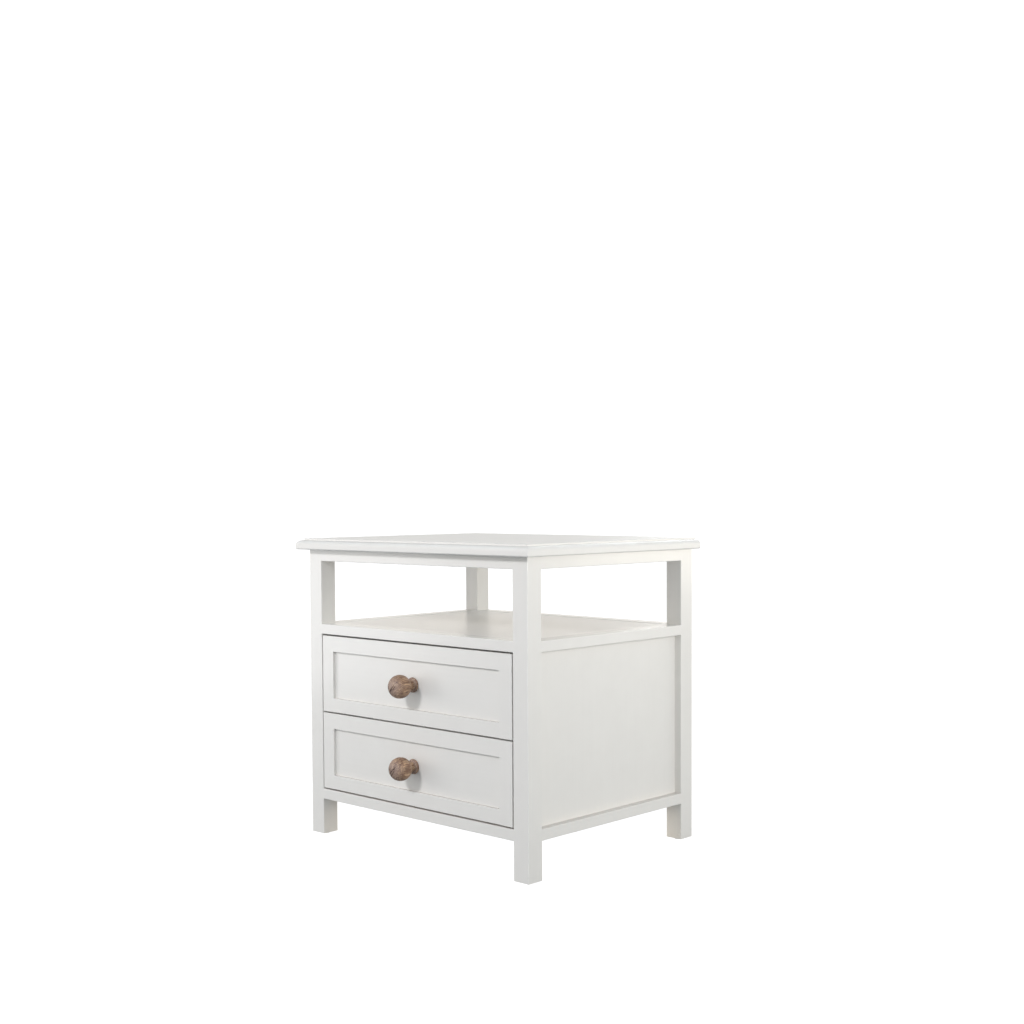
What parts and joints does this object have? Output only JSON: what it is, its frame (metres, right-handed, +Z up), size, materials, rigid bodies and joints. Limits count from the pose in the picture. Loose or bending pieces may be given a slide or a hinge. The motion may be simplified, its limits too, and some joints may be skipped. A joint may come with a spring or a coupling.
{
  "type": "nightstand",
  "caption": "Painted wooden nightstand with a moulded top, an open shelf, inset framed drawers on telescopic slides and turned wooden ball knobs.",
  "frame": {"origin": "on the floor under the middle of the overall box, knobs included", "axes": "+X to the viewer's right when facing the drawers, +Y from the front to the back, +Z up; the drawers open towards -Y"},
  "size_m": [0.64, 0.5312, 0.6],
  "materials": {
    "white_paint": "warm white satin paint over wood",
    "drawer_birch": "clear lacquered birch",
    "drawer_plywood": "clear lacquered birch plywood",
    "knob_oak": "brown weathered oak, dry matt",
    "slide_zinc": "zinc plated",
    "screw_zinc": "zinc plated",
    "glide_nylon": "moulded nylon"
  },
  "bodies": {
    "carcass": {"back_panel": "white_paint", "bottom_rail_back": "white_paint", "bottom_rail_front": "white_paint", "bottom_rail_left": "white_paint", "bottom_rail_right": "white_paint", "cabinet_slide_screws": "screw_zinc", "foot_glides": "glide_nylon", "lower_cabinet_slides": "slide_zinc", "post_back_left": "white_paint", "post_back_right": "white_paint", "post_front_left": "white_paint", "post_front_right": "white_paint", "shelf_panel": "white_paint", "shelf_rail_back": "white_paint", "shelf_rail_front": "white_paint", "shelf_rail_left": "white_paint", "shelf_rail_right": "white_paint", "side_panel_left": "white_paint", "side_panel_right": "white_paint", "slide_cleats_left": "drawer_birch", "slide_cleats_right": "drawer_birch", "top_board": "white_paint", "top_rail_back": "white_paint", "top_rail_front": "white_paint", "top_rail_left": "white_paint", "top_rail_right": "white_paint", "top_screws": "screw_zinc", "upper_cabinet_slides": "slide_zinc"},
    "upper_drawer": {"upper_box_back": "drawer_birch", "upper_box_bottom": "drawer_plywood", "upper_box_front": "drawer_birch", "upper_box_side_left": "drawer_birch", "upper_box_side_right": "drawer_birch", "upper_drawer_slides": "slide_zinc", "upper_face_screws": "screw_zinc", "upper_front_panel": "white_paint", "upper_front_rail_bottom": "white_paint", "upper_front_rail_top": "white_paint", "upper_front_stile_left": "white_paint", "upper_front_stile_right": "white_paint", "upper_knob": "knob_oak", "upper_knob_screw": "screw_zinc", "upper_slide_screws": "screw_zinc"},
    "lower_drawer": {"lower_box_back": "drawer_birch", "lower_box_bottom": "drawer_plywood", "lower_box_front": "drawer_birch", "lower_box_side_left": "drawer_birch", "lower_box_side_right": "drawer_birch", "lower_drawer_slides": "slide_zinc", "lower_face_screws": "screw_zinc", "lower_front_panel": "white_paint", "lower_front_rail_bottom": "white_paint", "lower_front_rail_top": "white_paint", "lower_front_stile_left": "white_paint", "lower_front_stile_right": "white_paint", "lower_knob": "knob_oak", "lower_knob_screw": "screw_zinc", "lower_slide_screws": "screw_zinc"},
    "upper_slide_middle": {"upper_middle_slides": "slide_zinc"},
    "lower_slide_middle": {"lower_middle_slides": "slide_zinc"}
  },
  "joints": [
    {"name": "upper_drawer_slide", "type": "slide", "parent": "carcass", "child": "upper_drawer", "axis": [0, -1, 0], "range_m": [0, 0.38]},
    {"name": "lower_drawer_slide", "type": "slide", "parent": "carcass", "child": "lower_drawer", "axis": [0, -1, 0], "range_m": [0, 0.38]},
    {"name": "upper_middle_slide", "type": "slide", "parent": "carcass", "child": "upper_slide_middle", "axis": [0, -1, 0], "range_m": [0, 0.19]},
    {"name": "lower_middle_slide", "type": "slide", "parent": "carcass", "child": "lower_slide_middle", "axis": [0, -1, 0], "range_m": [0, 0.19]}
  ],
  "couplings": [
    {"joint": "upper_middle_slide", "follows": "upper_drawer_slide", "ratio": 0.5},
    {"joint": "lower_middle_slide", "follows": "lower_drawer_slide", "ratio": 0.5}
  ]
}
